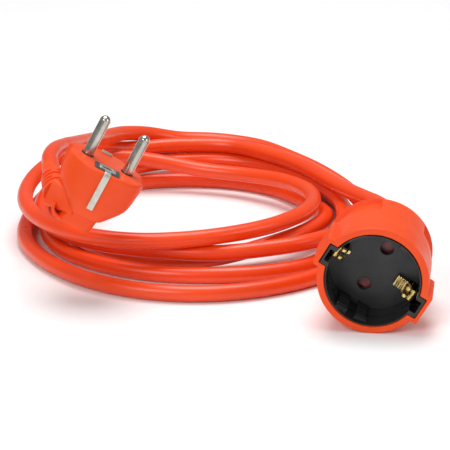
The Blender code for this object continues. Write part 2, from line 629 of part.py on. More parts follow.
def build_plug_earth(frame):
    hole = (0, -EARTH_OFFSET)
    core = block("plug_core", "grey", frame, CORE_LOW, CORE_HIGH)
    well = rod("core_well_cutter", None, frame, SOCKET_OUTER + GAP, PIN_ROOT - CLEAR, CLEAR, hole)
    combine(core, well)
    sleeve("plug_earth_socket", "nickel", frame, SOCKET_OUTER, SOCKET_INNER, SOCKET_START, -2 * GAP, hole)
    near_path = [(LEDGE_START - EDGE, EYE_LEVEL), (STRIP_REACH, EYE_LEVEL), (STRIP_REACH, -STRIP_END)]
    contact = strip("earth_strip_near", "nickel", frame, near_path, NEAR_STRIP_WIDTH)
    contact.rotation_euler = (0, 0, -pi / 2)
    middle = Vector((*hole, EYE_LEVEL))
    half = Vector((EYE_LENGTH / 2, EYE_WIDTH / 2, EYE_THICKNESS / 2))
    eye = block("earth_eye_shape", None, frame, middle - half, middle + half)
    half = Vector((SLOT_LENGTH / 2, SLOT_WIDTH / 2, CLEAR))
    slot = block("earth_slot_cutter", None, frame, middle - half, middle + half)
    combine(contact, eye, operation="UNION")
    combine(contact, slot)
    far_path = [(LEDGE_START + EDGE, -STRIP / 6), (STRIP_REACH, -STRIP / 6), (STRIP_REACH, -STRIP_END)]
    far = strip("earth_strip_far", "nickel", frame, far_path, FAR_STRIP_WIDTH)
    far.rotation_euler = (0, 0, pi / 2)


def build_plug_relief(relief_frame):
    outline = ribbed_taper(RELIEF_ROOT_RADIUS, RELIEF_TIP_RADIUS, 0, RELIEF_LENGTH, 6, RELIEF_GROOVE)
    profile = [*outline, (RELIEF_BORE, 0), (RELIEF_BORE, RELIEF_LENGTH)]
    turned("plug_strain_relief", "orange", relief_frame, profile, 24)


def build_plug_cores(frame):
    """The three cores, from the pins and the earth socket down through the hollow and into the relief."""
    for name, (colour, (x, z), route) in PLUG_CORES.items():
        offset = Vector((x, 0, z))
        inside = [RELIEF_ROOT + RELIEF_AXIS * reach + offset for reach in CORE_REACHES]
        tube(f"plug_core_{name}", colour, frame, [*route, *inside], CORE_RADIUS)


# ---- cord ----

def build_leads(frame):
    plug_points = smooth_path(PLUG_LEAD, LEAD_STEP)
    start = plug_matrix() @ (RELIEF_ROOT + RELIEF_AXIS * (RELIEF_LENGTH + 2 * GAP))
    tube("cord_plug_lead", "orange_cable", frame, [start, *plug_points[1:]], CORD_RADIUS)
    coupler_points = smooth_path(COUPLER_LEAD, LEAD_STEP)
    end = Vector((0.0, COUPLER_LEAD[-1][1] + 2 * GAP, COUPLER_RADIUS))
    tube("cord_coupler_lead", "orange_cable", frame, [*coupler_points[:-1], end], CORD_RADIUS)


def build_coil(frame):
    """A closed ring round all the turns: at each angle a box from the innermost to the outermost strand.

    It is kept lower than the top strand where the two leads lie on it.
    """
    route = smooth_path(TURNS, 0.004)
    offset = route[:, :2] - np.array(COIL_CENTRE)
    angle = np.arctan2(offset[:, 1], offset[:, 0])
    distance = np.linalg.norm(offset, axis=1)
    width = 2 * pi / COIL_SECTIONS
    sections = []
    for i in range(COIL_SECTIONS):
        centre = i * width if i <= COIL_SECTIONS / 2 else i * width - 2 * pi
        limit = COIL_RIGHT_TOP if COIL_RIGHT[0] < centre < COIL_RIGHT[1] else COIL_TOP
        apart = np.abs((angle - centre + pi) % (2 * pi) - pi)
        near = apart < 0.6 * width
        inner = distance[near].min() - CORD_RADIUS
        outer = distance[near].max() + CORD_RADIUS
        top = min(limit, route[near, 2].max() + CORD_RADIUS)
        sections.append([
            (COIL_CENTRE[0] + reach * cos(centre), COIL_CENTRE[1] + reach * sin(centre), z)
            for reach, z in ((inner, 0.0), (outer, 0.0), (outer, top), (inner, top))
        ])
    mesh = bpy.data.meshes.new("cord_coil")
    shape = bmesh.new()
    rings = [[shape.verts.new(corner) for corner in section] for section in sections]
    for i, ring in enumerate(rings):
        following = rings[(i + 1) % COIL_SECTIONS]
        for j in range(4):
            k = (j + 1) % 4
            shape.faces.new((ring[j], ring[k], following[k], following[j]))
    bmesh.ops.recalc_face_normals(shape, faces=shape.faces)
    shape.to_mesh(mesh)
    shape.free()
    return add_object("cord_coil", mesh, "orange_cable", frame)


def coupler_matrix():
    """The coupler's own frame: X along the ears, Z from the open face to the back."""
    ear_line = Vector((cos(COUPLER_ROLL), 0, -sin(COUPLER_ROLL)))
    depth = Vector((0, 1, 0))
    matrix = Matrix((ear_line, depth.cross(ear_line), depth)).transposed().to_4x4()
    return Matrix.Translation((0, COUPLER_FACE_Y, COUPLER_RADIUS)) @ matrix


def plug_matrix():
    """The plug's own frame: X along the pin line, Z along the pins, origin in the middle of its face."""
    line = (PLUG_PIN_LINE - PLUG_PIN_AXIS * PLUG_PIN_LINE.dot(PLUG_PIN_AXIS)).normalized()
    matrix = Matrix((line, PLUG_PIN_AXIS.cross(line), PLUG_PIN_AXIS)).transposed().to_4x4()
    return Matrix.Translation(PLUG_ORIGIN) @ matrix


def relief_matrix_in_plug():
    turn = RELIEF_AXIS.to_track_quat("Z", "Y").to_matrix().to_4x4()
    return Matrix.Translation(RELIEF_ROOT) @ turn


clear_scene()
PARTS = new_collection("extension_cord")
CUTTERS = new_collection("cutters")
coupler = add_frame("coupler_frame", coupler_matrix())
plug = add_frame("plug_frame", plug_matrix())
relief = add_frame("relief_frame", plug_matrix() @ relief_matrix_in_plug())
ground = add_frame("ground_frame", Matrix.Identity(4))

build_housing(coupler)
build_insert(coupler)
build_shutter(coupler)
build_contacts(coupler)
build_earth_clip(coupler, 1, "right")
build_earth_clip(coupler, -1, "left")
build_coupler_cores(coupler)
build_coupler_boot(coupler)
build_plug_body(plug, relief)
build_pins(plug)
build_plug_earth(plug)
build_plug_relief(relief)
build_plug_cores(plug)
build_leads(ground)
build_coil(ground)
bpy.context.view_layer.update()
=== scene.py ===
from math import radians

import bpy
import numpy as np
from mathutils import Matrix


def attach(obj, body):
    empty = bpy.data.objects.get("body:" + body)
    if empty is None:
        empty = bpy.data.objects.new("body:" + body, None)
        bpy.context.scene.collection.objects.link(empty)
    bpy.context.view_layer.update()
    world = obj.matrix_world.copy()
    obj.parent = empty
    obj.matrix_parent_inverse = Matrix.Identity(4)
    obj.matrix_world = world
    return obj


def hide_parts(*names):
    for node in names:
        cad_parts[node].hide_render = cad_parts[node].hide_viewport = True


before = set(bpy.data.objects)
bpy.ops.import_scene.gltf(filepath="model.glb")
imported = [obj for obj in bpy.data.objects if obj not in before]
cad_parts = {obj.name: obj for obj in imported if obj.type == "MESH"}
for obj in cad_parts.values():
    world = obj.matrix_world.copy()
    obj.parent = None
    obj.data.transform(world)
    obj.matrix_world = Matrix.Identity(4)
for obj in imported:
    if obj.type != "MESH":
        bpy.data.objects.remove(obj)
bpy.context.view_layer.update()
print("frame loaded:", len(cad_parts), "nodes")

mm = 0.001
rootBody = "cord_set"


# camera, light and floor

view = {
    "lens": 180.0,
    "sensor": 36.0,
    "place": (0.05315, -0.91914, 0.36781),
    "tilt": 70.0,
    "turn": 7.5,
}

studio = {
    "sky": (1.0, 1.0, 1.0),
    "skyStrength": 0.30,
    "floor": (0.92, 0.92, 0.92),
    "floorSize": 6.0,
    # name, place, size, power, aimed at
    "lamps": [
        ("topBox", (-0.10, 0.25, 1.25), 0.9, 13.0, (-0.05, 0.04, 0.02)),
        ("frontBox", (-0.55, -1.10, 0.85), 0.7, 7.5, (-0.05, 0.0, 0.03)),
        ("rightBox", (0.95, -0.35, 0.55), 0.6, 2.6, (0.0, 0.0, 0.03)),
    ],
}


def aim(thing, target):
    # turns the thing so that its own -Z points at the target
    toward = np.array(target) - np.array(thing.location)
    flat = np.hypot(toward[0], toward[1])
    thing.rotation_euler = (np.arctan2(flat, -toward[2]), 0.0, np.arctan2(-toward[0], toward[1]))


def makeStudio():
    lens = bpy.data.cameras.new("camera")
    lens.lens = view["lens"]
    lens.sensor_width = view["sensor"]
    camera = bpy.data.objects.new("camera", lens)
    camera.location = view["place"]
    camera.rotation_euler = (radians(view["tilt"]), 0.0, radians(view["turn"]))
    bpy.context.scene.collection.objects.link(camera)
    bpy.context.scene.camera = camera
    bpy.context.scene.view_settings.view_transform = "Standard"
    world = bpy.data.worlds.new("sky")
    world.use_nodes = True
    sky = world.node_tree.nodes["Background"]
    sky.inputs["Color"].default_value = (*studio["sky"], 1.0)
    sky.inputs["Strength"].default_value = studio["skyStrength"]
    bpy.context.scene.world = world
    for name, place, size, power, target in studio["lamps"]:
        lamp = bpy.data.lights.new(name, "AREA")
        lamp.shape = "DISK"
        lamp.size = size
        lamp.energy = power
        holder = bpy.data.objects.new(name, lamp)
        holder.location = place
        aim(holder, target)
        bpy.context.scene.collection.objects.link(holder)


# node finishes

def newFinish(name):
    finish = bpy.data.materials.new(name)
    finish.use_nodes = True
    tree = finish.node_tree
    shader = tree.nodes["Principled BSDF"]
    spot = tree.nodes.new("ShaderNodeTexCoord")
    return finish, tree, shader, spot.outputs["Object"]


def noiseOf(tree, spot, scale, detail=4.0, stretch=(1.0, 1.0, 1.0)):
    # noise over the object's own metres, drawn out along an axis where stretch is small
    mapping = tree.nodes.new("ShaderNodeMapping")
    mapping.inputs["Scale"].default_value = stretch
    tree.links.new(spot, mapping.inputs["Vector"])
    noise = tree.nodes.new("ShaderNodeTexNoise")
    noise.inputs["Scale"].default_value = scale
    noise.inputs["Detail"].default_value = detail
    tree.links.new(mapping.outputs["Vector"], noise.inputs["Vector"])
    return noise.outputs["Fac"]


def spread(tree, source, low, high, fromLow=0.3, fromHigh=0.7):
    # a 0 to 1 pattern spread over low to high
    ranged = tree.nodes.new("ShaderNodeMapRange")
    ranged.inputs["From Min"].default_value = fromLow
    ranged.inputs["From Max"].default_value = fromHigh
    ranged.inputs["To Min"].default_value = low
    ranged.inputs["To Max"].default_value = high
    tree.links.new(source, ranged.inputs["Value"])
    return ranged.outputs["Result"]


def twoColours(tree, source, first, second, fromLow=0.35, fromHigh=0.65):
    ramp = tree.nodes.new("ShaderNodeValToRGB")
    ramp.color_ramp.elements[0].position = fromLow
    ramp.color_ramp.elements[0].color = (*first, 1.0)
    ramp.color_ramp.elements[1].position = fromHigh
    ramp.color_ramp.elements[1].color = (*second, 1.0)
    tree.links.new(source, ramp.inputs["Fac"])
    return ramp.outputs["Color"]


def bumpOf(tree, source, height, strength=1.0, under=None):
    bump = tree.nodes.new("ShaderNodeBump")
    bump.inputs["Strength"].default_value = strength
    bump.inputs["Distance"].default_value = height
    tree.links.new(source, bump.inputs["Height"])
    if under is not None:
        tree.links.new(under, bump.inputs["Normal"])
    return bump.outputs["Normal"]


def mouldedFinish(name, look):
    # moulded plastic: slow drift of colour, patches of gloss, and a fine grain over a slow waviness
    finish, tree, shader, spot = newFinish(name)
    drift = noiseOf(tree, spot, look["driftScale"], 3.0)
    patches = noiseOf(tree, spot, look["patchScale"], 5.0)
    grain = noiseOf(tree, spot, look["grainScale"], 2.0)
    tree.links.new(twoColours(tree, drift, look["dark"], look["light"]), shader.inputs["Base Color"])
    tree.links.new(spread(tree, patches, look["gloss"], look["matt"]), shader.inputs["Roughness"])
    wavy = bumpOf(tree, patches, look["wave"])
    tree.links.new(bumpOf(tree, grain, look["grain"], under=wavy), shader.inputs["Normal"])
    shader.inputs["IOR"].default_value = look.get("ior", 1.5)
    shader.inputs["Coat Weight"].default_value = look.get("coat", 0.0)
    shader.inputs["Coat Roughness"].default_value = look.get("coatRoughness", 0.1)
    return finish


def metalFinish(name, look):
    # plated or rolled metal: fine lines drawn along one axis, and duller patches
    finish, tree, shader, spot = newFinish(name)
    lines = noiseOf(tree, spot, look["lineScale"], 3.0, look["along"])
    patches = noiseOf(tree, spot, look["patchScale"], 4.0)
    tree.links.new(twoColours(tree, patches, look["dark"], look["light"]), shader.inputs["Base Color"])
    tree.links.new(spread(tree, patches, look["gloss"], look["matt"]), shader.inputs["Roughness"])
    tree.links.new(bumpOf(tree, lines, look["groove"]), shader.inputs["Normal"])
    shader.inputs["Metallic"].default_value = 1.0
    return finish


def stripedFinish(name, look):
    # green insulation with a yellow stripe that turns round it
    finish, tree, shader, spot = newFinish(name)
    bands = tree.nodes.new("ShaderNodeTexWave")
    bands.inputs["Scale"].default_value = look["bandScale"]
    bands.inputs["Distortion"].default_value = 0.4
    tree.links.new(spot, bands.inputs["Vector"])
    colour = twoColours(tree, bands.outputs["Fac"], look["dark"], look["light"], 0.48, 0.52)
    tree.links.new(colour, shader.inputs["Base Color"])
    grain = noiseOf(tree, spot, look["grainScale"], 2.0)
    tree.links.new(spread(tree, grain, look["gloss"], look["matt"]), shader.inputs["Roughness"])
    tree.links.new(bumpOf(tree, grain, look["grain"]), shader.inputs["Normal"])
    return finish


looks = {
    "softOrange": {
        "dark": (0.84, 0.066, 0.004), "light": (0.90, 0.078, 0.007), "driftScale": 45.0, "ior": 1.4,
        "gloss": 0.38, "matt": 0.52, "patchScale": 130.0, "wave": 0.00008,
        "grainScale": 2600.0, "grain": 0.000035,
    },
    "sheathOrange": {
        "dark": (0.80, 0.054, 0.003), "light": (0.87, 0.066, 0.005), "driftScale": 30.0, "ior": 1.42,
        "gloss": 0.27, "matt": 0.40, "patchScale": 90.0, "wave": 0.00012,
        "grainScale": 1500.0, "grain": 0.000012, "coat": 0.25, "coatRoughness": 0.28,
    },
    "glossBlack": {
        "dark": (0.008, 0.008, 0.009), "light": (0.015, 0.015, 0.016), "driftScale": 120.0,
        "gloss": 0.12, "matt": 0.22, "patchScale": 260.0, "wave": 0.00003,
        "grainScale": 4200.0, "grain": 0.000006,
    },
    "floorBlack": {
        "dark": (0.020, 0.020, 0.021), "light": (0.030, 0.030, 0.031), "driftScale": 120.0,
        "gloss": 0.36, "matt": 0.46, "patchScale": 260.0, "wave": 0.00002,
        "grainScale": 5200.0, "grain": 0.00001,
    },
    "slateGrey": {
        "dark": (0.030, 0.036, 0.045), "light": (0.055, 0.062, 0.074), "driftScale": 300.0,
        "gloss": 0.32, "matt": 0.50, "patchScale": 420.0, "wave": 0.00003,
        "grainScale": 4000.0, "grain": 0.00001,
    },
    "shutterRed": {
        "dark": (0.20, 0.034, 0.038), "light": (0.28, 0.052, 0.056), "driftScale": 260.0,
        "gloss": 0.26, "matt": 0.42, "patchScale": 500.0, "wave": 0.00005,
        "grainScale": 3800.0, "grain": 0.00001,
    },
    "coreBrown": {
        "dark": (0.075, 0.028, 0.014), "light": (0.120, 0.048, 0.026), "driftScale": 200.0,
        "gloss": 0.34, "matt": 0.48, "patchScale": 300.0, "wave": 0.00004,
        "grainScale": 3000.0, "grain": 0.00001,
    },
    "coreBlue": {
        "dark": (0.014, 0.075, 0.34), "light": (0.022, 0.110, 0.46), "driftScale": 200.0,
        "gloss": 0.34, "matt": 0.48, "patchScale": 300.0, "wave": 0.00004,
        "grainScale": 3000.0, "grain": 0.00001,
    },
}

metals = {
    "brass": {
        "dark": (0.62, 0.42, 0.14), "light": (0.86, 0.66, 0.30), "patchScale": 420.0,
        "gloss": 0.16, "matt": 0.34, "lineScale": 2200.0, "along": (1.0, 0.12, 1.0), "groove": 0.00002,
    },
    "nickel": {
        "dark": (0.46, 0.44, 0.39), "light": (0.62, 0.60, 0.54), "patchScale": 260.0,
        "gloss": 0.13, "matt": 0.26, "lineScale": 2600.0, "along": (1.0, 1.0, 0.15), "groove": 0.00001,
    },
    "satinNickel": {
        "dark": (0.58, 0.56, 0.48), "light": (0.72, 0.70, 0.62), "patchScale": 300.0,
        "gloss": 0.38, "matt": 0.52, "lineScale": 3000.0, "along": (1.0, 1.0, 0.10), "groove": 0.00001,
    },
    "steel": {
        "dark": (0.46, 0.46, 0.47), "light": (0.62, 0.62, 0.62), "patchScale": 500.0,
        "gloss": 0.22, "matt": 0.38, "lineScale": 3600.0, "along": (1.0, 1.0, 0.3), "groove": 0.00001,
    },
}

earthStripe = {
    "dark": (0.055, 0.30, 0.040), "light": (0.82, 0.66, 0.040), "bandScale": 60.0,
    "gloss": 0.34, "matt": 0.48, "grainScale": 3000.0, "grain": 0.00001,
}

finishes = {name: mouldedFinish(name, look) for name, look in looks.items()}
finishes.update({name: metalFinish(name, look) for name, look in metals.items()})
finishes["coreEarth"] = stripedFinish("coreEarth", earthStripe)
print("finishes made:", len(finishes))


# shape helpers, all on whole arrays

def unit(vectors):
    return vectors / np.linalg.norm(vectors, axis=-1, keepdims=True)


def ease(value, start, end):
    # 0 before start, 1 after end, and a smooth 3t^2 - 2t^3 between them
    t = np.clip((value - start) / (end - start), 0.0, 1.0)
    return t * t * (3 - 2 * t)


def gridFaces(rows, columns, wrapRows):
    # each quad joins a point to the next in its ring and to the two beside them in the next ring
    i, j = np.meshgrid(np.arange(rows if wrapRows else rows - 1), np.arange(columns), indexing="ij")
    below = (i + 1) % rows
    beside = (j + 1) % columns
    corners = [i * columns + j, i * columns + beside, below * columns + beside, below * columns + j]
    return np.stack(corners, -1).reshape(-1, 4)


def volumeOf(places, triangles):
    # a sixth of the sum of each triangle's triple product: above zero when the faces look outward
    a, b, c = (places[triangles[:, k]] for k in range(3))
    return (a * np.cross(b, c)).sum() / 6


def ringPiece(name, points, finish, wrapRows=False, sharp=34.0):
    # a stack of closed rings; the last ring joins the first, or both ends close on their middle point
    rows, columns = points.shape[:2]
    places = points.reshape(-1, 3)
    quads = gridFaces(rows, columns, wrapRows)
    fans = np.zeros((0, 3), int)
    if not wrapRows:
        places = np.concatenate([places, points[0].mean(0)[None], points[-1].mean(0)[None]])
        j = np.arange(columns)
        beside = (j + 1) % columns
        last = (rows - 1) * columns
        top = np.full(columns, rows * columns)
        firstFan = np.stack([top, beside, j], 1)
        lastFan = np.stack([top + 1, last + j, last + beside], 1)
        fans = np.concatenate([firstFan, lastFan])
    triangles = np.concatenate([quads[:, [0, 1, 2]], quads[:, [0, 2, 3]], fans])
    if volumeOf(places - places.mean(0), triangles) < 0:
        quads = quads[:, ::-1]
        fans = fans[:, ::-1]
    mesh = bpy.data.meshes.new(name)
    mesh.from_pydata(places.tolist(), [], quads.tolist() + fans.tolist())
    mesh.polygons.foreach_set("use_smooth", np.ones(len(mesh.polygons), bool))
    mesh.set_sharp_from_angle(angle=radians(sharp))
    mesh.materials.append(finishes[finish])
    piece = bpy.data.objects.new(name, mesh)
    bpy.context.scene.collection.objects.link(piece)
    return piece


def settle(piece, body, slotName, *nodes):
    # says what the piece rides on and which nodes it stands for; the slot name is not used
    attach(piece, body)
    if nodes:
        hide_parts(*nodes)
    return piece


def placed(points, home):
    # from a piece's own millimetres to the shared metres
    return home["origin"] + (np.asarray(points, float) * mm) @ home["axes"]


def aroundAxis(angle, radius, height):
    # a point at that angle, distance from the axis and height, for arrays of any matching shape
    angle, radius, height = np.broadcast_arrays(angle, radius, height)
    return np.stack([radius * np.cos(angle), radius * np.sin(angle), height], -1)


def boxReach(angle, halfX, halfY, power=22.0):
    # distance from the centre to a rounded rectangle: a superellipse of high power
    shareX = np.abs(np.cos(angle)) / halfX
    shareY = np.abs(np.sin(angle)) / halfY
    return (shareX**power + shareY**power) ** (-1 / power)


def denseAngles(count, *bands):
    # even angles round the circle with more of them in the bands, given in degrees from the X line
    quarter = np.concatenate([np.linspace(0, 90, count // 4 + 1)] + [np.arange(*band) for band in bands])
    quarter = np.unique(np.round(quarter, 4))
    whole = np.concatenate([quarter, 180 - quarter, 180 + quarter, 360 - quarter])
    return np.radians(np.unique(np.round(whole % 360, 4)))


def turnedRings(profile, angles, home):
    # a profile of (radius, height) carried round the axis
    profile = np.asarray(profile, float)
    return placed(aroundAxis(angles[None, :], profile[:, :1], profile[:, 1:]), home)


def sweepRings(path, side, up, outline, widths=1.0, heights=1.0):
    # an outline carried along a path: each ring is the path point plus outline x along side and y along up
    widths = np.broadcast_to(widths, len(path))[:, None, None]
    heights = np.broadcast_to(heights, len(path))[:, None, None]
    sideways = outline[None, :, :1] * widths * side[:, None]
    upward = outline[None, :, 1:] * heights * up[:, None]
    return path[:, None] + sideways + upward


def roundedBar(halfX, halfY, corner, count=5):
    # a rectangle with quarter-circle corners, as a closed outline
    turn = np.radians(np.linspace(0, 90, count))
    arcs = (turn + np.pi / 2 * np.arange(4)[:, None])[..., None]
    signs = np.array([(1, 1), (-1, 1), (-1, -1), (1, -1)])
    middles = signs * (np.array([halfX, halfY]) - corner)
    arms = np.concatenate([np.cos(arcs), np.sin(arcs)], -1)
    return (middles[:, None] + corner * arms).reshape(-1, 2)


def smoothRoute(points, spacing):
    # cubic pieces that leave each point along the mean of its two directions, weighted by the square roots
    # of their lengths, then read again at even steps along the whole length
    points = np.asarray(points, float)
    span = np.sqrt(np.linalg.norm(np.diff(points, axis=0), axis=1))[:, None]
    slope = np.diff(points, axis=0) / span
    middle = (slope[1:] * span[:-1] + slope[:-1] * span[1:]) / (span[1:] + span[:-1])
    tangent = np.concatenate([slope[:1], middle, slope[-1:]])
    t = np.linspace(0, 1, 24, endpoint=False)[None, :, None]
    leave = (tangent[:-1] * span)[:, None]
    arrive = (tangent[1:] * span)[:, None]
    fine = (
        (2 * t**3 - 3 * t**2 + 1) * points[:-1, None] + (t**3 - 2 * t**2 + t) * leave
        + (3 * t**2 - 2 * t**3) * points[1:, None] + (t**3 - t**2) * arrive
    )
    fine = np.concatenate([fine.reshape(-1, points.shape[1]), points[-1:]])
    along = np.concatenate([[0.0], np.cumsum(np.linalg.norm(np.diff(fine, axis=0), axis=1))])
    even = np.linspace(0, along[-1], round(along[-1] / spacing) + 1)
    return np.stack([np.interp(even, along, fine[:, k]) for k in range(points.shape[1])], 1), along[-1]


# where the coupler and the plug stand

def homeOf(origin, x, y, z):
    return {"origin": np.array(origin, float), "axes": np.array([x, y, z], float)}


coupler = {"origin": (0.0, -0.042, 0.02365), "roll": 30.0}
rollCos, rollSin = np.cos(radians(coupler["roll"])), np.sin(radians(coupler["roll"]))
couplerHome = homeOf(coupler["origin"], (rollCos, 0, -rollSin), (-rollSin, 0, -rollCos), (0, 1, 0))

plug = {
    "origin": (-0.1181, -0.0093, 0.0596),
    "pins": (0.456, 0.135, 0.877),
    "line": (0.860, 0.135, -0.497),
    "reliefRoot": (-13.5, -2.5, -20.8),
    "reliefAxis": (-0.22, 0.965, 0.13),
}
pinWay = unit(np.array(plug["pins"]))
lineWay = np.array(plug["line"]) - pinWay * (np.array(plug["line"]) @ pinWay)
lineWay = unit(lineWay)
plugHome = homeOf(plug["origin"], lineWay, np.cross(pinWay, lineWay), pinWay)
reliefWay = unit(np.array(plug["reliefAxis"])) @ plugHome["axes"]
reliefSide = unit(np.cross(np.array((0.0, 0.0, 1.0)), reliefWay))
reliefHome = homeOf(
    placed(plug["reliefRoot"], plugHome), reliefSide, np.cross(reliefWay, reliefSide), reliefWay,
)


# the cord

cord = {
    "radius": 3.7 * mm,
    "sides": 28,
    "spacing": 0.0022,
    "tuck": 0.008,   # how far each end runs on inside its relief
    # from the plug, round the coil half a turn to a line, and on to the coupler
    "route": [
        (-0.1462, 0.0061, 0.0523), (-0.1482, 0.0130, 0.0533), (-0.1487, 0.0240, 0.0532),
        (-0.1480, 0.0410, 0.0500), (-0.1462, 0.0625, 0.0446), (-0.1445, 0.0860, 0.0385),
        (-0.1425, 0.1080, 0.0330),
        (-0.1368, 0.1310, 0.0282), (-0.1270, 0.1465, 0.0236), (-0.1120, 0.1562, 0.0187),
        (-0.092, 0.1605, 0.0172), (-0.0709, 0.1549, 0.0167),
        (-0.0525, 0.1397, 0.0160), (-0.0368, 0.1265, 0.014),
        (-0.0219, 0.1128, 0.0098), (-0.0124, 0.0966, 0.0062),
        (-0.0085, 0.0754, 0.0043), (-0.010, 0.053, 0.0037),
        (-0.015, 0.032, 0.0037), (-0.030, 0.010, 0.0037), (-0.054, -0.008, 0.0037), (-0.081, -0.016, 0.0037),
        (-0.108, -0.014, 0.0037), (-0.132, -0.003, 0.0037), (-0.153, 0.017, 0.0037), (-0.167, 0.042, 0.0037),

        (-0.171, 0.069, 0.0045), (-0.168, 0.095, 0.007), (-0.160, 0.121, 0.009), (-0.144, 0.142, 0.010),
        (-0.122, 0.157, 0.0095), (-0.097, 0.163, 0.009), (-0.070, 0.160, 0.008), (-0.048, 0.147, 0.006),
        (-0.034, 0.126, 0.004), (-0.0235, 0.104, 0.0037), (-0.019, 0.081, 0.0037), (-0.021, 0.055, 0.0037),
        (-0.031, 0.028, 0.0037), (-0.050, 0.014, 0.0037), (-0.075, 0.007, 0.0037), (-0.100, 0.006, 0.0037),
        (-0.124, 0.013, 0.0037), (-0.144, 0.027, 0.0037), (-0.157, 0.048, 0.0037), (-0.161, 0.072, 0.0037),

        (-0.158, 0.095, 0.0037), (-0.148, 0.114, 0.0037), (-0.130, 0.128, 0.0037), (-0.106, 0.136, 0.0037),
        (-0.082, 0.136, 0.0037), (-0.061, 0.128, 0.0037), (-0.045, 0.113, 0.004), (-0.034, 0.094, 0.006),
        (-0.030, 0.073, 0.0095), (-0.036, 0.051, 0.011), (-0.052, 0.036, 0.009), (-0.076, 0.025, 0.005),
        (-0.100, 0.023, 0.0037), (-0.123, 0.029, 0.0037), (-0.140, 0.043, 0.004), (-0.150, 0.062, 0.005),

        (-0.153, 0.083, 0.008), (-0.149, 0.105, 0.0105), (-0.137, 0.124, 0.011), (-0.119, 0.139, 0.011),
        (-0.097, 0.147, 0.011), (-0.073, 0.144, 0.011), (-0.052, 0.132, 0.011), (-0.036, 0.114, 0.011),
        (-0.025, 0.093, 0.011), (-0.021, 0.070, 0.011), (-0.022, 0.049, 0.0115), (-0.033, 0.031, 0.013),
        (-0.051, 0.021, 0.0125), (-0.075, 0.015, 0.0112), (-0.100, 0.015, 0.0112), (-0.126, 0.020, 0.0112),
        (-0.148, 0.033, 0.0115), (-0.161, 0.052, 0.0120), (-0.164, 0.074, 0.0135), (-0.160, 0.096, 0.0153),

        (-0.151, 0.114, 0.0175), (-0.137, 0.124, 0.0183), (-0.119, 0.128, 0.0155), (-0.096, 0.128, 0.012),
        (-0.073, 0.123, 0.012), (-0.054, 0.112, 0.0135), (-0.041, 0.096, 0.015), (-0.036, 0.076, 0.017),
        (-0.038, 0.055, 0.0185), (-0.049, 0.036, 0.0188), (-0.065, 0.022, 0.0188), (-0.086, 0.011, 0.0188),
        (-0.110, 0.006, 0.0188), (-0.134, 0.011, 0.0188), (-0.154, 0.025, 0.019), (-0.167, 0.046, 0.0195),

        (-0.171, 0.070, 0.0205), (-0.167, 0.094, 0.0225), (-0.155, 0.117, 0.0240), (-0.135, 0.136, 0.0188),
        (-0.110, 0.146, 0.0186), (-0.085, 0.148, 0.0186), (-0.063, 0.136, 0.0188),
        (-0.046, 0.120, 0.0191), (-0.0318, 0.101, 0.0191),
        (-0.0203, 0.0840, 0.0198), (-0.0104, 0.0690, 0.0213),
        (-0.0042, 0.0588, 0.0226), (-0.0005, 0.0490, 0.0235), (0.0, 0.042, 0.02365),
    ],
}


def makeCord():
    # a ring of points about a smooth centreline, each ring square to it: the cosine goes along the level
    # side and the sine along up
    line, length = smoothRoute(cord["route"][::-1], cord["spacing"])
    line[:, 2] = np.maximum(line[:, 2], cord["radius"])
    way = unit(np.gradient(line, axis=0))
    first = line[:1] - way[:1] * cord["tuck"]
    last = line[-1:] + reliefHome["axes"][2] * -cord["tuck"]
    whole = np.concatenate([first, line, last])
    way = unit(np.gradient(whole, axis=0))
    side = unit(np.cross(np.array((0.0, 0.0, 1.0)), way))
    up = np.cross(way, side)
    turn = np.linspace(0, 2 * np.pi, cord["sides"], endpoint=False)
    circle = np.stack([np.cos(turn), np.sin(turn)], 1) * cord["radius"]
    piece = ringPiece("cord", sweepRings(whole, side, up, circle), "sheathOrange", sharp=60.0)
    settle(piece, rootBody, "cord_coil", "cord_coil", "cord_plug_lead", "cord_coupler_lead")
    print("cord made:", round(length, 3), "m")
    return piece, whole, length, line[0]


# the coupler's outer body

housing = {
    "radius": 23.65, "earReach": 25.4, "earHalf": 6.9, "earDepth": 21.0,
    "hole": 20.6, "pocketReach": 23.6, "pocketHalf": 5.05,
    "gripRadius": 21.2, "gripStart": 25.0, "gripEnd": 38.5, "padHalf": 11.0,
    "edge": 0.8,
    "back": [
        (36.5, 23.55), (38.6, 23.3), (39.8, 22.6), (41.0, 21.1),
        (46.8, 15.1), (52.0, 10.7), (53.6, 9.4), (54.3, 8.8),
    ],
    # from, to and number of rings along the outside
    "stretches": [
        (1.2, 20, 6), (20.2, 21.4, 8), (24.4, 25.7, 8), (27, 36, 6), (36.5, 39.2, 12), (39.5, 54.3, 20),
    ],
    # radius and depth of the hollow at the back, then how much wider than the cup's hole the mouth is
    "hollow": [(5.3, 54.3), (5.3, 49.5), (16.0, 36.0), (19.1, 33.5), (19.1, 21.4)],
    "mouth": [(0.0, 21.4), (0.0, 0.5), (0.08, 0.2), (0.3, 0.0), (0.4, 0.0)],
}


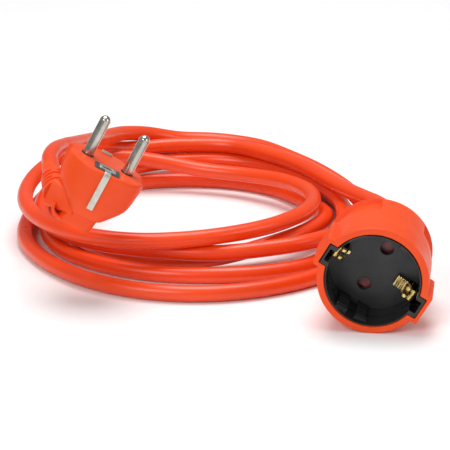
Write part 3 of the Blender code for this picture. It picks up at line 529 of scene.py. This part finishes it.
def housingSkin(angle, depth):
    # the larger of a circle and a rounded bar across it that stops at the ears' depth, with a band cut back
    # behind them except where the pads stand
    s = housing
    depthTable, radiusTable = np.array([(0.0, s["radius"])] + s["back"]).T
    base = np.interp(depth, depthTable, radiusTable)
    ears = boxReach(angle, s["earReach"], s["earHalf"], 40.0)
    onEars = 1 - ease(depth, s["earDepth"] - 0.7, s["earDepth"] + 0.1)
    radius = base + onEars * np.maximum(ears - base, 0)
    pastStart = ease(depth, s["gripStart"] - 0.4, s["gripStart"] + 0.5)
    inBand = pastStart * (1 - ease(depth, s["gripEnd"] - 0.8, s["gripEnd"]))
    offPad = ease(np.abs(np.cos(angle)) * s["radius"], s["padHalf"] - 0.35, s["padHalf"] + 0.35)
    radius = radius - inBand * offPad * np.maximum(radius - s["gripRadius"], 0)
    into = np.clip(s["edge"] - depth, 0, s["edge"])
    return radius - (s["edge"] - np.sqrt(s["edge"] ** 2 - into**2))


def makeHousing():
    s = housing
    angles = denseAngles(216, (10, 20, 0.3), (55, 67, 0.6))
    front = s["edge"] * (1 - np.cos(np.linspace(0, np.pi / 2, 7)))
    depths = np.concatenate([front] + [np.linspace(*stretch) for stretch in s["stretches"]])
    outside = aroundAxis(angles[None, :], housingSkin(angles[None, :], depths[:, None]), depths[:, None])
    inner = np.maximum(s["hole"], boxReach(angles, s["pocketReach"], s["pocketHalf"], 40.0))
    hollow = [aroundAxis(angles, radius, depth) for radius, depth in s["hollow"]]
    mouth = [aroundAxis(angles, inner + wider, depth) for wider, depth in s["mouth"]]
    inside = np.stack(hollow + mouth)
    lip = aroundAxis(angles, housingSkin(angles, 0.0) - 0.1, 0.0)[None]
    rings = placed(np.concatenate([lip, outside, inside]), couplerHome)
    piece = ringPiece("couplerHousing", rings, "softOrange", wrapRows=True)
    settle(piece, rootBody, "coupler_housing", "coupler_housing")


# the black cup, its floor and its two holes

cup = {
    "radius": 20.3, "earReach": 23.3, "earHalf": 4.75, "depth": 21.0,
    "wall": 19.7, "slotReach": 22.3, "slotHalf": 2.85, "floor": 18.0, "floorRadius": 19.95,
    "ribNear": 1.9, "ribFar": 7.0, "ribFace": 17.2, "ribTop": 2.5, "ribEdge": 0.15,
    "holeRadius": 2.9, "holeOffset": 9.5, "notch": 14.0,
}


def cupWall(angle, depth):
    # the larger of the recess circle and the two slots; the ribs cut it back to a flat line across each end
    # of the pin line, with shallow steps across them
    s = cup
    wall = s["wall"] - 0.25 * ease(depth, 9.2, 9.5)
    wall = np.maximum(wall, boxReach(angle, s["slotReach"], s["slotHalf"], 40.0))
    setBack = 0.45 * (1 - ease(depth, 3.8, 4.1))
    raised = 0.35 * ease(depth, 9.6, 9.9) * (1 - ease(depth, 13.9, 14.2))
    face = s["ribFace"] + setBack - raised
    flat = face / np.maximum(np.abs(np.sin(angle)), 0.2)
    across = np.abs(flat * np.cos(angle))
    pastNear = ease(across, s["ribNear"] - s["ribEdge"], s["ribNear"] + s["ribEdge"])
    onRib = pastNear * (1 - ease(across, s["ribFar"] - s["ribEdge"], s["ribFar"] + s["ribEdge"]))
    return wall - onRib * ease(depth, s["ribTop"] - 0.1, s["ribTop"] + 0.5) * np.maximum(wall - flat, 0)


def makeCup():
    s = cup
    angles = denseAngles(200, (6, 15, 0.3), (65, 71, 0.35), (82, 86, 0.3))
    outer = np.maximum(s["radius"], boxReach(angles, s["earReach"], s["earHalf"], 40.0))
    depths = np.concatenate([
        [0.25, 0.6, 1.5], np.linspace(2.3, 3.1, 6), np.linspace(3.7, 4.2, 4), np.linspace(5, 9, 4),
        np.linspace(9.15, 9.95, 7), [11.0, 12.5, 13.8, 14.0, 14.3, 15.5, 17.0, s["depth"]],
    ])
    wall = cupWall(angles[None, :], depths[:, None])
    inside = aroundAxis(angles[None, :], wall, depths[:, None])
    edge = cupWall(angles, 0.0)
    front = np.stack([
        aroundAxis(angles, outer, s["depth"]), aroundAxis(angles, outer, 0.3),
        aroundAxis(angles, outer - 0.08, 0.08),
        aroundAxis(angles, outer - 0.2, 0.0), aroundAxis(angles, outer - 0.26, 0.0),
        aroundAxis(angles, edge + 0.22, 0.0), aroundAxis(angles, edge + 0.06, 0.07),
    ])
    rings = placed(np.concatenate([front, inside]), couplerHome)
    piece = ringPiece("socketCup", rings, "glossBlack", wrapRows=True)
    settle(piece, rootBody, "socket_insert", "socket_insert")
    for sign, word in ((1, "Lower"), (-1, "Upper")):
        makeFloorHalf(sign, word)


def makeFloorHalf(sign, word):
    # half of the floor as rings about its pin hole: each ray from the hole's middle runs to whichever comes
    # first of the outer circle, the middle line and the clip's notch
    s = cup
    h = s["holeOffset"]
    rim = np.sqrt(s["floorRadius"] ** 2 - s["slotHalf"] ** 2)
    corners = np.array([
        (s["floorRadius"], 0), (s["notch"], 0), (s["notch"], s["slotHalf"]), (rim, s["slotHalf"]),
    ])
    corners = np.concatenate([corners, corners * (-1, 1)])
    toCorners = np.arctan2(corners[:, 1] - h, corners[:, 0])
    even = np.linspace(-np.pi, np.pi, 180, endpoint=False)
    rays = np.unique(np.concatenate([even, toCorners, toCorners - 0.002, toCorners + 0.002]))
    dx, dy = np.cos(rays), np.sin(rays)
    reach = -h * dy + np.sqrt((h * dy) ** 2 + s["floorRadius"] ** 2 - h**2)
    down = np.where(dy < -1e-6, dy, -1e-6)
    reach = np.minimum(reach, -h / down)
    toTop = (s["slotHalf"] - h) / down
    reach = np.where(np.abs(toTop * dx) >= s["notch"], np.minimum(reach, toTop), reach)
    toSide = s["notch"] / np.maximum(np.abs(dx), 1e-6)
    sideY = h + toSide * dy
    reach = np.where((sideY >= 0) & (sideY <= s["slotHalf"]), np.minimum(reach, toSide), reach)
    hole = s["holeRadius"]
    steps = [
        (hole + 0.45, s["floor"]), (hole + 0.3, s["floor"]), (hole + 0.1, s["floor"] + 0.08),
        (hole, s["floor"] + 0.3), (hole, s["depth"] - 0.05),
    ]
    rings = [np.stack([reach * dx, reach * dy, np.full_like(dx, s["floor"])], 1)]
    rings += [np.stack([radius * dx, radius * dy, np.full_like(dx, depth)], 1) for radius, depth in steps]
    rings.append(np.stack([reach * dx, reach * dy, np.full_like(dx, s["depth"] - 0.05)], 1))
    rings = np.stack(rings) + np.array((0, h, 0))
    rings = rings * np.array((sign, sign, 1))
    rings = placed(rings, couplerHome)
    piece = ringPiece("socketFloor" + word, rings, "floorBlack", wrapRows=True, sharp=25.0)
    settle(piece, rootBody, "socket_insert", "socket_insert")


# the brass spring clips

clip = {
    "path": [
        (18.2, 20.6), (19.6, 18.0), (20.4, 14.0), (20.3, 11.0), (19.5, 9.5), (18.2, 9.3), (17.1, 10.6),
        (16.6, 12.6), (15.6, 14.4), (14.4, 15.3), (12.6, 15.7), (10.2, 15.9),
    ],
    "width": 5.2, "thickness": 0.55, "ridges": 4, "ridgeHeight": 0.22, "ridgeSpan": (10.4, 14.6),
    # the left clip's inner end is shorter, and this much narrower
    "leftPath": [
        (18.2, 20.6), (19.6, 18.0), (20.4, 14.0), (20.3, 11.0), (19.5, 9.5), (18.2, 9.3), (17.1, 10.6),
        (16.6, 12.6), (15.8, 14.2), (14.8, 15.2), (13.4, 15.8), (12.6, 15.9),
    ],
    "leftTip": 0.3,
    "curl": [(17.6, 9.9), (16.4, 9.2), (15.0, 9.8), (14.4, 11.3), (14.9, 12.6)],
    "curlWidth": 1.5,
}


def stripRings(path2, width, thickness, home, ridges=None, middle=0.0, narrow=1.0):
    # a flat bar carried along a line in the X-Z plane, with its width along Y, narrowing over its last third
    line = smoothRoute(path2, 0.22)[0]
    widths = 1 - (1 - narrow) * ease(np.linspace(0, 1, len(line)), 0.65, 1.0)
    path = np.stack([line[:, 0], np.full(len(line), middle), line[:, 1]], 1)
    way = unit(np.gradient(path, axis=0))
    side = np.broadcast_to(np.array((0.0, 1.0, 0.0)), path.shape)
    up = np.cross(way, side)
    if ridges is not None:
        path = path + up * ridges(line)[:, None]
    bar = roundedBar(width / 2, thickness / 2, thickness * 0.45, 4)
    return placed(sweepRings(path, side, up, bar, widths), home)


def clipRidges(line):
    # ripples across the flat inner end, as a raised cosine along X
    x = line[:, 0]
    start, end = clip["ridgeSpan"]
    inner = (1 - ease(x, end - 0.4, end + 0.2)) * ease(x, start, start + 0.5)
    waves = np.cos((x - start) * 2 * np.pi * clip["ridges"] / (end - start))
    return clip["ridgeHeight"] * inner * (1 - waves) / 2


def makeClip(sign, word, body, node):
    turned = {"origin": couplerHome["origin"], "axes": couplerHome["axes"] * np.array([[sign], [sign], [1]])}
    width, thickness = clip["width"], clip["thickness"]
    if sign > 0:
        rings = stripRings(clip["path"], width, thickness, turned, clipRidges)
    else:
        rings = stripRings(clip["leftPath"], width, thickness, turned, narrow=clip["leftTip"])
    settle(ringPiece("earthClip" + word, rings, "brass"), body, node, node)
    for edge in (-1, 1):
        middle = edge * (width - clip["curlWidth"]) / 2
        rings = stripRings(clip["curl"], clip["curlWidth"], thickness, turned, middle=middle)
        name = "clipCurl" + word + ("Near" if edge < 0 else "Far")
        settle(ringPiece(name, rings, "brass"), body, node, node)


# the ribbed reliefs

# shape gives the radius along the relief, and the ribs stand between the flange and the end of the
# ribbed part
boot = {
    "start": 54.6, "length": 29.4, "shape": [(0, 9.0), (29.4, 5.3)], "bore": 3.2,
    "ribs": 6, "ribbed": 29.4, "groove": 1.0, "flange": 2.6,
}
plugRelief = {
    "start": -1.0, "length": 25.0,
    "shape": [(0, 6.3), (13.6, 5.7), (14.6, 5.3), (16.6, 4.5), (19.0, 4.2), (25.0, 4.05)],
    "bore": 3.2, "ribs": 4, "ribbed": 13.8, "groove": 0.9, "flange": 2.2,
}


def reliefRings(s, home):
    # a taper with square-edged grooves round it; each groove is bridged at two places that turn a quarter
    # from one groove to the next
    angles = np.linspace(0, 2 * np.pi, 72, endpoint=False)
    along = np.linspace(0, 1, 190)
    taper = np.interp(along * s["length"], *np.array(s["shape"]).T)
    pitch = (s["ribbed"] - s["flange"]) / s["ribs"]
    count = (along * s["length"] - s["flange"]) / pitch
    phase = count % 1.0
    groove = ease(phase, 0.10, 0.18) * (1 - ease(phase, 0.52, 0.60)) * (count > 0) * (count < s["ribs"])
    number = np.floor(count)[:, None]
    bridge = ease(np.abs(np.cos(angles[None, :] + number * np.pi / 2)), 0.93, 0.97)
    radius = taper[:, None] - s["groove"] * groove[:, None] * (1 - bridge)
    height = s["start"] + along * s["length"]
    outside = aroundAxis(angles[None, :], radius, height[:, None])
    lip = aroundAxis(angles, taper[-1] - 0.3, s["start"] + s["length"] + 0.25)[None]
    mouth = aroundAxis(angles, s["bore"] + 0.2, s["start"] + s["length"] + 0.25)[None]
    bore = aroundAxis(angles, s["bore"], s["start"] + s["length"] - 0.4)[None]
    root = aroundAxis(angles, s["bore"], s["start"])[None]
    return placed(np.concatenate([outside, lip, mouth, bore, root]), home)


# the plug's body

plugBody = {
    # depth below the face, reach to the left, right, near side and far side, and squareness of the section
    "sections": [
        (0.0, 18.0, 18.0, 18.0, 18.0, 2.0), (0.25, 18.45, 18.45, 18.45, 18.45, 2.0),
        (0.9, 18.7, 18.7, 18.7, 18.7, 2.0), (5.0, 18.5, 18.5, 18.6, 18.5, 2.0),
        (10.0, 17.9, 17.9, 18.4, 18.0, 2.05), (12.8, 17.0, 17.2, 18.2, 17.4, 2.15),
        (14.6, 15.7, 16.4, 18.0, 16.6, 2.3), (16.5, 13.6, 14.6, 17.7, 15.2, 2.6),
        (19.0, 10.8, 12.0, 17.0, 13.6, 3.0), (21.3, 8.3, 9.4, 16.2, 12.6, 3.6),
        (21.8, 7.9, 8.9, 15.7, 12.3, 3.8), (22.1, 7.9, 7.6, 13.6, 12.1, 4.0),
        (24.0, 8.6, 7.0, 13.3, 12.0, 4.2), (26.5, 9.6, 6.6, 13.2, 11.9, 4.4),
        (28.0, 10.2, 6.1, 13.0, 11.7, 4.4), (28.6, 10.2, 5.7, 12.6, 11.3, 4.2),
        (28.8, 9.6, 5.2, 12.0, 10.8, 4.0),
    ],
    "grooveReach": 16.6, "grooveCut": 1.6, "grooveHalf": 5.4, "grooveRight": 13.5, "grooveLeft": 19.5,
    "neckStart": (-3.4, -10.8, -19.5), "neckWidths": (3.4, 6.2), "neckHeights": (4.6, 6.2),
    "pocket": (6.0, 5.1), "pocketMiddle": -10.2, "pocketDepth": 6.5,
    "tail": [(-7.5, -28.2), (-11.2, -27.4), (-13.0, -25.6), (-13.6, -23.4)],
    "tailWidth": 8.5, "tailThickness": 1.3, "tailMiddle": -8.6,
}


def makePlugBody():
    # rings down the pin axis: each is a superellipse whose four reaches and power are read from the table,
    # cut flat by the two guide grooves, of which the left one runs on down to the relief
    s = plugBody
    table = np.array(s["sections"])
    angles = denseAngles(200, (14, 20, 0.4))
    aroundEnds = np.add.outer((s["grooveRight"], s["grooveLeft"]), (-0.3, -0.1, 0.1, 0.3)).ravel()
    depths = np.unique(np.concatenate([table[:, 0], np.linspace(0.9, 28, 44), aroundEnds]))
    columns = [np.interp(depths, table[:, 0], table[:, k])[:, None] for k in range(1, 6)]
    left, right, near, far, power = columns
    cosA, sinA = np.cos(angles)[None, :], np.sin(angles)[None, :]
    reachX = np.where(cosA > 0, right, left)
    reachY = np.where(sinA > 0, far, near)
    radius = ((np.abs(cosA) / reachX) ** power + (np.abs(sinA) / reachY) ** power) ** (-1 / power)
    inGroove = 1 - ease(np.abs(radius * sinA), s["grooveHalf"] - 0.2, s["grooveHalf"] + 0.2)
    grooveEnd = np.where(cosA > 0, s["grooveRight"], s["grooveLeft"])
    inGroove = inGroove * (1 - ease(depths[:, None], grooveEnd - 0.3, grooveEnd + 0.3))
    flat = np.minimum(s["grooveReach"], reachX - s["grooveCut"])
    cut = np.maximum(radius - flat / np.maximum(np.abs(cosA), 0.3), 0)
    radius = radius - inGroove * cut
    # the face is left open round the core: rings about the core's own middle go down into its pocket
    pocket = aroundAxis(angles, boxReach(angles, *s["pocket"], 12.0), 0.0)
    pocket = pocket + np.array((0, s["pocketMiddle"], 0))
    inside = np.stack([pocket + np.array((0, 0, -s["pocketDepth"])), pocket])
    outside = aroundAxis(angles[None, :], radius, -depths[:, None])
    rings = placed(np.concatenate([inside, outside]), plugHome)
    body = ringPiece("plugBody", rings, "softOrange", sharp=30.0)
    settle(body, rootBody, "plug_body", "plug_body")
    # the neck: a box that widens on its way from inside the body to the relief's root
    start, end = np.array(s["neckStart"]), np.array(plug["reliefRoot"])
    t = np.linspace(0, 1.04, 9)
    path = start + (end - start) * t[:, None]
    across = unit(np.cross(end - start, np.array((0.0, 0.0, 1.0))))
    side = np.broadcast_to(across, path.shape)
    up = np.broadcast_to(unit(np.cross(across, end - start)), path.shape)
    widths = np.interp(t, (0, 1), s["neckWidths"])
    heights = np.interp(t, (0, 1), s["neckHeights"])
    neckRings = placed(sweepRings(path, side, up, roundedBar(1, 1, 0.3, 5), widths, heights), plugHome)
    neck = ringPiece("plugNeck", neckRings, "softOrange")
    settle(neck, rootBody, "plug_body", "plug_body")
    relief = ringPiece("plugRelief", reliefRings(plugRelief, reliefHome), "softOrange", wrapRows=True)
    settle(relief, rootBody, "plug_strain_relief", "plug_strain_relief")
    tailRings = stripRings(s["tail"], s["tailWidth"], s["tailThickness"], plugHome, middle=s["tailMiddle"])
    tail = ringPiece("plugTail", tailRings, "softOrange")
    settle(tail, rootBody, "plug_body", "plug_body")
    return [body, neck, relief, tail]


# the pins and the earth contacts

pin = {"radius": 2.4, "length": 19.0, "offset": 9.5, "chamfer": 0.5, "dome": 1.9}
strip = {
    "near": [(15.0, 0.62), (18.3, 0.55), (18.95, -0.2), (18.95, -4.0), (18.85, -10.0), (18.55, -17.0)],
    "far": [(14.4, 0.35), (17.8, 0.35), (18.8, 0.05), (18.95, -1.0), (18.9, -6.0), (18.4, -14.0)],
    "nearWidth": 2.9, "farWidth": 5.0, "thickness": 0.5,
    "frameX": 3.9, "frameY": 2.75, "holeX": 2.45, "holeY": 1.25, "middle": -10.0, "well": 4.5,
}
coreBlock = {"halfX": 5.9, "low": -15.2, "high": -5.2, "top": 0.32, "bottom": -6.0, "corner": 0.9}


def makePins():
    # a round shank that ends in a narrow chamfer and a dome of quarter-circle section
    dome = np.linspace(0, np.pi / 2, 9)
    inner = pin["radius"] - pin["chamfer"]
    heights = (-3.0, 0.6, 8.0, pin["length"] - pin["dome"] - 0.05)
    profile = [(pin["radius"], height) for height in heights]
    nose = np.stack([
        inner * np.cos(dome) + pin["chamfer"] * (1 - dome / (np.pi / 2)) ** 2,
        pin["length"] - pin["dome"] * (1 - np.sin(dome)),
    ], 1)
    nose[-1, 0] = 0.02
    turn = np.linspace(0, 2 * np.pi, 48, endpoint=False)
    made = []
    for sign, word in ((-1, "left"), (1, "right")):
        home = homeOf(placed((sign * pin["offset"], 0, 0), plugHome), *plugHome["axes"])
        rings = turnedRings(np.concatenate([profile, nose]), turn, home)
        piece = ringPiece("plugPin" + word.title(), rings, "nickel")
        made.append(settle(piece, rootBody, "plug_pin_" + word, "plug_pin_" + word))
    return made


def outlineRings(outlines, home, shift):
    # closed outlines stacked at their own heights
    flat = np.stack([outline + np.array(shift) for outline, _ in outlines])
    heights = np.array([height for _, height in outlines])[:, None, None]
    rings = np.concatenate([flat, np.broadcast_to(heights, (*flat.shape[:2], 1))], -1)
    return placed(rings, home)


def makeEarth():
    s = strip
    x, y, z = plugHome["axes"]
    nearHome = homeOf(plugHome["origin"], -y, x, z)
    farHome = homeOf(plugHome["origin"], y, -x, z)
    nearRings = stripRings(s["near"], s["nearWidth"], s["thickness"], nearHome)
    near = ringPiece("earthStripNear", nearRings, "satinNickel")
    farRings = stripRings(s["far"], s["farWidth"], s["thickness"], farHome)
    far = ringPiece("earthStripFar", farRings, "satinNickel")
    big, small = roundedBar(s["frameX"], s["frameY"], 0.8, 6), roundedBar(s["holeX"], s["holeY"], 1.0, 6)
    frameRings = outlineRings(
        [(big, 0.33), (big, 0.55), (big * 0.97, 0.65), (small * 1.05, 0.65), (small, 0.55), (small, 0.33)],
        plugHome, (0, s["middle"]),
    )
    eye = ringPiece("earthFrame", frameRings, "satinNickel", wrapRows=True)
    settle(near, rootBody, "earth_strip_near", "earth_strip_near")
    settle(eye, rootBody, "earth_strip_near", "earth_strip_near")
    settle(far, rootBody, "earth_strip_far", "earth_strip_far")
    c = coreBlock
    coreMiddle = (c["high"] + c["low"]) / 2
    bar = roundedBar(c["halfX"], (c["high"] - c["low"]) / 2, c["corner"], 6)
    levels = [
        (bar, c["bottom"]), (bar, c["top"] - 0.15), (bar * 0.985, c["top"] - 0.02), (bar * 0.96, c["top"]),
    ]
    well = roundedBar(s["holeX"] + 0.15, s["holeY"] + 0.15, 1.0, 6)
    well = well + np.array((0, s["middle"] - coreMiddle))
    levels += [(well, c["top"]), (well, c["top"] - s["well"])]
    core = ringPiece("plugCore", outlineRings(levels, plugHome, (0, coreMiddle)), "slateGrey")
    settle(core, rootBody, "plug_core", "plug_core")
    return [near, eye, far, core]


# pieces that keep their own shape and get a finish

kept = {
    "slateGrey": ["contact_carrier", "pin_collar_left", "pin_collar_right"],
    "shutterRed": ["shutter"],
    "steel": ["shutter_pivot", "shutter_spring"],
    "brass": [
        "contact_live", "contact_neutral", "crimp_earth", "crimp_live", "crimp_neutral", "earth_bridge",
    ],
    "nickel": ["plug_earth_socket"],
    "coreBrown": ["coupler_core_live", "plug_core_live"],
    "coreBlue": ["coupler_core_neutral", "plug_core_neutral"],
    "coreEarth": ["coupler_core_earth", "plug_core_earth"],
}


def finishKept():
    for finish, names in kept.items():
        for name in names:
            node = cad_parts[name]
            node.data.materials.clear()
            node.data.materials.append(finishes[finish])


makeStudio()
cordPiece, cordLine, cordLength, cordExit = makeCord()
makeHousing()
makeCup()
makeClip(1, "Right", "clip_right", "earth_clip_right")
makeClip(-1, "Left", "clip_left", "earth_clip_left")
bootPiece = ringPiece("couplerRelief", reliefRings(boot, couplerHome), "softOrange", wrapRows=True)
settle(bootPiece, rootBody, "coupler_strain_relief", "coupler_strain_relief")
print("coupler made")
plugPieces = makePlugBody() + makePins() + makeEarth()
print("plug made")
finishKept()

ground = bpy.data.meshes.new("ground")
half = studio["floorSize"] / 2
corners = [(-half, -half, 0), (half, -half, 0), (half, half, 0), (-half, half, 0)]
ground.from_pydata(corners, [], [(0, 1, 2, 3)])
paper, paperTree, paperShader, paperSpot = newFinish("paper")
paperGrain = noiseOf(paperTree, paperSpot, 700.0)
paperTree.links.new(spread(paperTree, paperGrain, 0.7, 0.85), paperShader.inputs["Roughness"])
paperShader.inputs["Base Color"].default_value = (*studio["floor"], 1.0)
ground.materials.append(paper)
floorPiece = bpy.data.objects.new("ground", ground)
bpy.context.scene.collection.objects.link(floorPiece)
